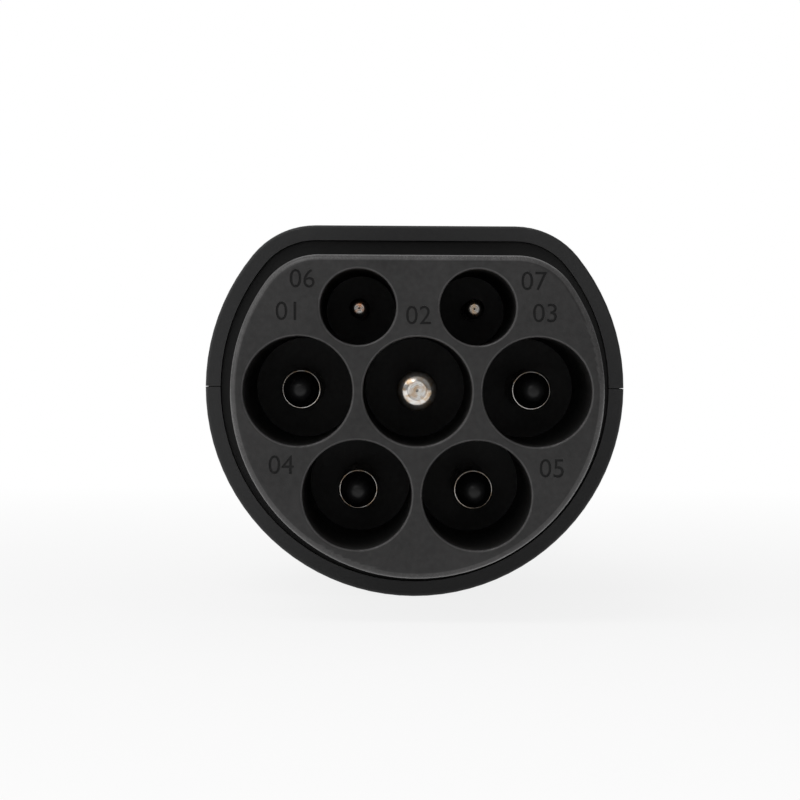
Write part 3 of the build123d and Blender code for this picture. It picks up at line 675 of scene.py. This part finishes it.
class PLUG_OT_pins(Operator):
    """Plated pins with lathe rings, and the insulating tips of the line pins"""

    bl_idname = "plug.pins"
    bl_label = "Pins and tips"

    def execute(self, context):
        turning = context.scene.plug_turning
        pitch = turning.ring_pitch / MM
        groove = turning.ring_depth / MM
        silver = context.scene.plug_finish.pin_colour
        warm = (0.60, 0.44, 0.29)
        copper = (0.72, 0.36, 0.19)

        for node in LINE_PINS:
            front = front_of(node) / MM
            floor_y = front + SOCKET_DEPTH
            profile = [(0, floor_y), (SOCKET_RADIUS, floor_y), (SOCKET_RADIUS, front)]
            profile += rounded_corner(POWER_PIN["radius"], front, LINE_PIN_ROUND)
            profile += tail_profile(POWER_PIN, back_of(node) / MM)
            metal = turned_metal(node + " plating", silver, 0.16, warm)
            turned_piece(node, node + "_turned", profile, metal, "pin_plating")

        # painted shade: the signal pins, deep in their narrow wells, get a darker copy of the earth pin's
        # silver
        shaded_silver = tinted(silver, 0.6)
        domed = (
            ("earth_pin", "earth pin plating", POWER_PIN, EARTH_DOME, silver, 0.1, warm),
            ("proximity_pin", "proximity_pin plating", SIGNAL_PIN, SIGNAL_DOME, shaded_silver, 0.18, copper),
            ("pilot_pin", "pilot_pin plating", SIGNAL_PIN, SIGNAL_DOME, shaded_silver, 0.18, warm),
        )
        for node, name, pin, dome, colour, rough, tarnish in domed:
            profile = turned_dome(pin["radius"], dome, front_of(node) / MM, pitch, groove)
            profile += tail_profile(pin, back_of(node) / MM)
            metal = turned_metal(name, colour, rough, tarnish)
            turned_piece(node, node + "_turned", profile, metal, "pin_plating")

        foot_rings(bpy.data.materials["nose grained plastic"])

        black = moulded_plastic("pin tip plastic", (0.012, 0.012, 0.0125), 0.2 * MM, 0.004 * MM, shine=0.33)
        for node in LINE_TIPS:
            profile = tip_profile(front_of(node) / MM)
            turned_piece(node, node + "_moulded", profile, black, "tip_plastic")
        return {"FINISHED"}


# ---------------------------------------------------------------- cable gland
RIB_SINK = 0.15 * MM      # how far a rib's middle lies inside the dome's side at its front
RIB_LEAN = 3.0 * MM       # and at its back
RIB_REACH = 0.86          # share of the dome's length that a rib covers


def rib_tree(material):
    """Geometry Nodes: one rib swept along the dome's side and repeated round the gland's axis."""
    tree = bpy.data.node_groups.new("nut ribs", "GeometryNodeTree")
    face = tree.interface
    face.new_socket("Geometry", in_out="INPUT", socket_type="NodeSocketGeometry")
    face.new_socket("Rib Count", in_out="INPUT", socket_type="NodeSocketInt")
    for name in ("Rib Radius", "Front Radius", "Back Radius", "Length"):
        face.new_socket(name, in_out="INPUT", socket_type="NodeSocketFloat")
    face.new_socket("Axis Foot", in_out="INPUT", socket_type="NodeSocketVector")
    face.new_socket("Geometry", in_out="OUTPUT", socket_type="NodeSocketGeometry")
    given = tree.nodes.new("NodeGroupInput").outputs
    final = tree.nodes.new("NodeGroupOutput")

    def node(kind, links=(), **values):
        """Add a node with its properties, and link its named inputs."""
        made = tree.nodes.new(kind)
        for name, value in values.items():
            setattr(made, name, value)
        for name, source in links:
            tree.links.new(source, made.inputs[name])
        return made

    # the dome's side in its own plane: x out from the axis, y along it
    front = node("ShaderNodeCombineXYZ", (("X", given["Front Radius"]),))
    middle = node("ShaderNodeCombineXYZ", (("X", given["Front Radius"]), ("Y", given["Length"])))
    back = node("ShaderNodeCombineXYZ", (("X", given["Back Radius"]), ("Y", given["Length"])))
    path = node(
        "GeometryNodeCurveQuadraticBezier",
        (("Start", front.outputs[0]), ("Middle", middle.outputs[0]), ("End", back.outputs[0])),
    )
    path.inputs["Resolution"].default_value = 16
    section = node("GeometryNodeCurvePrimitiveCircle", (("Radius", given["Rib Radius"]),))
    section.inputs["Resolution"].default_value = 8
    rib = node("GeometryNodeCurveToMesh", (("Curve", path.outputs[0]), ("Profile Curve", section.outputs[0])))
    rib.inputs["Fill Caps"].default_value = True
    spots = node("GeometryNodeMeshLine", (("Count", given["Rib Count"]),))
    spots.inputs["Offset"].default_value = (0, 0, 0)
    number = node("GeometryNodeInputIndex")
    whole = node("ShaderNodeMath", operation="DIVIDE")
    whole.inputs[0].default_value = 2 * pi
    tree.links.new(given["Rib Count"], whole.inputs[1])
    turn = node("ShaderNodeMath", operation="MULTIPLY")
    tree.links.new(whole.outputs[0], turn.inputs[0])
    tree.links.new(number.outputs[0], turn.inputs[1])
    turned = node("ShaderNodeCombineXYZ", (("Y", turn.outputs[0]),))
    ribs = node(
        "GeometryNodeInstanceOnPoints",
        (("Points", spots.outputs[0]), ("Instance", rib.outputs[0]), ("Rotation", turned.outputs[0])),
    )
    placed = node(
        "GeometryNodeTransform", (("Geometry", ribs.outputs[0]), ("Translation", given["Axis Foot"]))
    )
    real = node("GeometryNodeRealizeInstances", (("Geometry", placed.outputs[0]),))
    paint_all = node("GeometryNodeSetMaterial", (("Geometry", real.outputs[0]),))
    paint_all.inputs["Material"].default_value = material
    tree.links.new(paint_all.outputs[0], final.inputs[0])
    return tree


def grown(name, tree, values):
    """Plain mesh object of a Geometry Nodes tree, whose inputs are given by their names."""
    obj = link(bpy.data.objects.new(name, bpy.data.meshes.new(name)))
    modifier = obj.modifiers.new(name, "NODES")
    modifier.node_group = tree
    for item in tree.interface.items_tree:
        if item.item_type == "SOCKET" and item.in_out == "INPUT" and item.name in values:
            modifier[item.identifier] = values[item.name]
    mesh = evaluated_mesh(obj)
    obj.modifiers.remove(modifier)
    obj.data = smoothed(mesh, RIB_ANGLE)
    return obj


class PLUG_OT_gland(Operator):
    """Neck, claw, seal and ribbed nut of the cable gland"""

    bl_idname = "plug.gland"
    bl_label = "Cable gland"

    def execute(self, context):
        finish = context.scene.plug_finish
        plastic = moulded_plastic("gland nylon", (0.017, 0.017, 0.018), 0.4 * MM, 0.008 * MM, shine=0.42)
        light = moulded_plastic("claw nylon", (0.05, 0.05, 0.052), 0.4 * MM, 0.006 * MM, shine=0.45)
        rubber = soft_rubber("gland rubber", finish.rubber_colour)
        dress("gland_nut", "gland_nut_moulded", plastic, "gland_plastic")
        dress("gland_body", "gland_neck", plastic, "gland_plastic")
        dress("gland_claw", "gland_claw_moulded", light, "claw_plastic")
        dress("gland_seal", "gland_sleeve", rubber, "rubber_seal")
        paint("gland_gasket", rubber)
        turning = context.scene.plug_turning
        ribs = grown("nut_grip_ribs", rib_tree(plastic), {
            "Rib Count": turning.rib_count,
            "Rib Radius": turning.rib_radius,
            "Front Radius": NUT_DOME_RADIUS - RIB_SINK,
            "Back Radius": NUT_DOME_RADIUS - RIB_LEAN,
            "Length": NUT_DOME_LENGTH * RIB_REACH,
            "Axis Foot": (GLAND_AXIS.x, NUT_END_Y - NUT_DOME_LENGTH, GLAND_AXIS.z),
        })
        finish_piece(ribs, "gland_plastic")
        return {"FINISHED"}


class PLUG_OT_inside(Operator):
    """Screws, inserts and the pieces that the housing hides"""

    bl_idname = "plug.inside"
    bl_label = "Screws and inner pieces"

    def execute(self, context):
        finish = context.scene.plug_finish
        steel = plain_metal("screw zinc plating", (0.5, 0.5, 0.52), 0.3)
        brass = plain_metal("insert brass", (0.72, 0.52, 0.24), 0.35)
        inner = moulded_plastic("retainer plastic", (0.03, 0.03, 0.032), 0.4 * MM, 0.01 * MM)
        rubber = soft_rubber("seal mat rubber", finish.rubber_colour)
        board = moulded_plastic("board solder mask", (0.02, 0.12, 0.05), 0.5 * MM, 0.002 * MM, shine=0.3)
        ceramic = moulded_plastic("resistor coat", (0.02, 0.02, 0.02), 0.2 * MM, 0.004 * MM, shine=0.4)
        dress("shell_screws", "shell_screws_plated", steel, "screw_steel")
        paint("shell_inserts", brass)
        paint("retainer_screws", steel)
        paint("rear_retainer", inner)
        paint("contact_seal", rubber)
        paint("coding_board", board)
        paint("coding_resistor", ceramic)
        return {"FINISHED"}


# ---------------------------------------------------------------- stage
FRONT_TARGET = (0, FACE_Y, 0)
GRIP_TARGET = (0, 0.08, 0)
# Name, which power it takes and what share, size, place, what it points at, and whether shiny
# surfaces mirror it.
LAMPS = (
    ("key softbox", "key_power", 1.0, (0.4, 0.3), (-0.2, FACE_Y - 0.17, 0.58), FRONT_TARGET, True),
    ("front softbox", "front_power", 1.0, (0.34, 0.16), (-0.1, FACE_Y - 0.6, 0.165), FRONT_TARGET, False),
    ("high softbox", "front_power", 0.6, (0.3, 0.14), (-0.18, FACE_Y - 0.5, 0.24), FRONT_TARGET, True),
    ("well light", "front_power", 0.16, (0.14, 0.08), (-0.06, FACE_Y - 0.7, 0.075), FRONT_TARGET, False),
    ("side softbox", "side_power", 1.0, (0.4, 0.6), (-0.6, FACE_Y - 0.1, 0.2), FRONT_TARGET, True),
    ("rear softbox", "side_power", 1.0, (0.8, 0.4), (0.1, 0.55, 0.55), GRIP_TARGET, True),
)
FLOOR_REACH = 6.0
FLOOR_FADE = (0.05, 0.35)     # distances from the pin's foot between which the floor pales
FLOOR_WHITE = (0.85, 1.0)     # share of plain white there, as the camera and shiny surfaces see it
MIRRORED_ROOM = 1.6           # how much brighter shiny surfaces see the room
CAMERA_LENS = 121.1
CAMERA_SENSOR = 36
CAMERA_SIDE = -4.1 * MM       # from the earth pin's axis
CAMERA_RISE = 6.0 * MM
CAMERA_PAN = -0.234           # degrees, as are the next two
CAMERA_DOWN = 1.065
CAMERA_ROLL = 0.33


def area_lamp(name, power, size, place, target, mirrored):
    """Rectangular softbox that points from place at target."""
    data = bpy.data.lights.new(name, "AREA")
    data.shape = "RECTANGLE"
    data.size, data.size_y = size
    data.energy = power
    lamp = link(bpy.data.objects.new(name, data))
    lamp.visible_glossy = mirrored
    lamp.location = place
    lamp.rotation_euler = (Vector(target) - Vector(place)).to_track_quat("-Z", "Y").to_euler()
    return lamp


def pale_floor(level):
    """Wide pale floor that keeps the plug's shadow and fades to white with distance."""
    mesh = bpy.data.meshes.new("floor")
    sides = ((-1, -1), (1, -1), (1, 1), (-1, 1))
    mesh.from_pydata([(x * FLOOR_REACH, y * FLOOR_REACH, level) for x, y in sides], [], [(0, 1, 2, 3)])
    material, tree, shader = new_material("pale floor")
    place = add(tree, "ShaderNodeTexCoord").outputs["Object"]
    grain = noise(tree, place, 0.02, detail=2.0)
    pale = colour_mix(tree, grain, (0.84, 0.84, 0.84), (0.88, 0.88, 0.88))
    tree.links.new(pale, shader.inputs["Base Color"])
    shader.inputs["Roughness"].default_value = 0.9
    shader.inputs["Specular IOR Level"].default_value = 0.0
    distance = add(tree, "ShaderNodeVectorMath", operation="LENGTH")
    tree.links.new(place, distance.inputs[0])
    far = ranged(tree, distance.outputs["Value"], *FLOOR_WHITE, *FLOOR_FADE)
    path = add(tree, "ShaderNodeLightPath")
    seen = add(tree, "ShaderNodeMath", operation="MAXIMUM")
    tree.links.new(path.outputs["Is Camera Ray"], seen.inputs[0])
    tree.links.new(path.outputs["Is Glossy Ray"], seen.inputs[1])
    white = add(tree, "ShaderNodeEmission", Strength=1.0)
    white.inputs["Color"].default_value = (1, 1, 1, 1)
    mix = add(tree, "ShaderNodeMixShader")
    tree.links.new(times(tree, seen.outputs[0], far), mix.inputs["Fac"])
    tree.links.new(shader.outputs["BSDF"], mix.inputs[1])
    tree.links.new(white.outputs["Emission"], mix.inputs[2])
    tree.links.new(mix.outputs["Shader"], tree.nodes["Material Output"].inputs["Surface"])
    mesh_object("floor", mesh, material)


def studio_world(strength):
    """White to the camera; to everything else a room lighter overhead and on the left, dark in front."""
    world = bpy.data.worlds.new("studio")
    bpy.context.scene.world = world
    world.use_nodes = True
    tree = world.node_tree
    room = tree.nodes["Background"]
    room.inputs["Color"].default_value = (1, 1, 1, 1)
    direction = add(tree, "ShaderNodeTexCoord").outputs["Generated"]
    parts = add(tree, "ShaderNodeSeparateXYZ")
    tree.links.new(direction, parts.inputs[0])
    path = add(tree, "ShaderNodeLightPath")
    level = ranged(tree, path.outputs["Is Glossy Ray"], strength, MIRRORED_ROOM * strength, 0, 1)
    ahead = ranged(tree, parts.outputs["Y"], 0.6, 1.0, -0.97, -0.45)
    rise = ranged(tree, parts.outputs["Z"], 0.45, 1.0, -0.3, 0.8)
    left = ranged(tree, parts.outputs["X"], 1.0, 0.45, -0.7, 0.7)
    tree.links.new(times(tree, level, ahead, rise, left), room.inputs["Strength"])
    white = add(tree, "ShaderNodeBackground", Strength=1.0)
    white.inputs["Color"].default_value = (1, 1, 1, 1)
    mix = add(tree, "ShaderNodeMixShader")
    tree.links.new(path.outputs["Is Camera Ray"], mix.inputs["Fac"])
    tree.links.new(room.outputs["Background"], mix.inputs[1])
    tree.links.new(white.outputs["Background"], mix.inputs[2])
    tree.links.new(mix.outputs["Shader"], tree.nodes["World Output"].inputs["Surface"])


def camera_at(distance):
    """Long lens straight in front, a little left of and above the earth pin's axis."""
    data = bpy.data.cameras.new("camera")
    data.lens = CAMERA_LENS
    data.sensor_width = CAMERA_SENSOR
    data.clip_start = 0.01
    data.clip_end = 20
    camera = link(bpy.data.objects.new("camera", data))
    place = Matrix.Translation((CAMERA_SIDE, FACE_Y - distance, CAMERA_RISE))
    pan = Matrix.Rotation(radians(CAMERA_PAN), 4, "Z")
    down = Matrix.Rotation(radians(90 - CAMERA_DOWN), 4, "X")
    camera.matrix_world = place @ pan @ down @ Matrix.Rotation(radians(CAMERA_ROLL), 4, "Z")
    bpy.context.scene.camera = camera


class PLUG_OT_stage(Operator):
    """Pale floor, soft lamps, room light and the camera"""

    bl_idname = "plug.stage"
    bl_label = "Stage"

    def execute(self, context):
        stage = context.scene.plug_stage
        pale_floor(CAD_BOX[0][2])
        for name, power, share, size, place, target, mirrored in LAMPS:
            area_lamp(name, getattr(stage, power) * share, size, place, target, mirrored)
        studio_world(stage.room_light)
        camera_at(stage.camera_distance)
        context.scene.view_settings.view_transform = "Standard"
        return {"FINISHED"}


class PLUG_PT_panel(Panel):
    """Lists the plug's pieces and their sizes"""

    bl_idname = "PLUG_PT_panel"
    bl_label = "Charging plug"
    bl_space_type = "VIEW_3D"
    bl_region_type = "UI"
    bl_category = "Charging plug"

    def draw(self, context):
        for group in (context.scene.plug_finish, context.scene.plug_turning, context.scene.plug_stage):
            for name in group.__annotations__:
                self.layout.prop(group, name)
        for step in STEPS:
            self.layout.operator(step.bl_idname)


STEPS = (
    PLUG_OT_housing,
    PLUG_OT_contact_carrier,
    PLUG_OT_gasket,
    PLUG_OT_pins,
    PLUG_OT_gland,
    PLUG_OT_inside,
    PLUG_OT_stage,
)
CLASSES = (PlugFinish, PlugTurning, PlugStage, *STEPS, PLUG_PT_panel)


def register():
    for cls in CLASSES:
        bpy.utils.register_class(cls)
    bpy.types.Scene.plug_finish = PointerProperty(type=PlugFinish)
    bpy.types.Scene.plug_turning = PointerProperty(type=PlugTurning)
    bpy.types.Scene.plug_stage = PointerProperty(type=PlugStage)


def unregister():
    del bpy.types.Scene.plug_stage
    del bpy.types.Scene.plug_turning
    del bpy.types.Scene.plug_finish
    for cls in reversed(CLASSES):
        bpy.utils.unregister_class(cls)


def main():
    """Make every piece in order."""
    register()
    for step in STEPS:
        group, name = step.bl_idname.split(".")
        getattr(getattr(bpy.ops, group), name)()


if __name__ == "__main__":
    main()
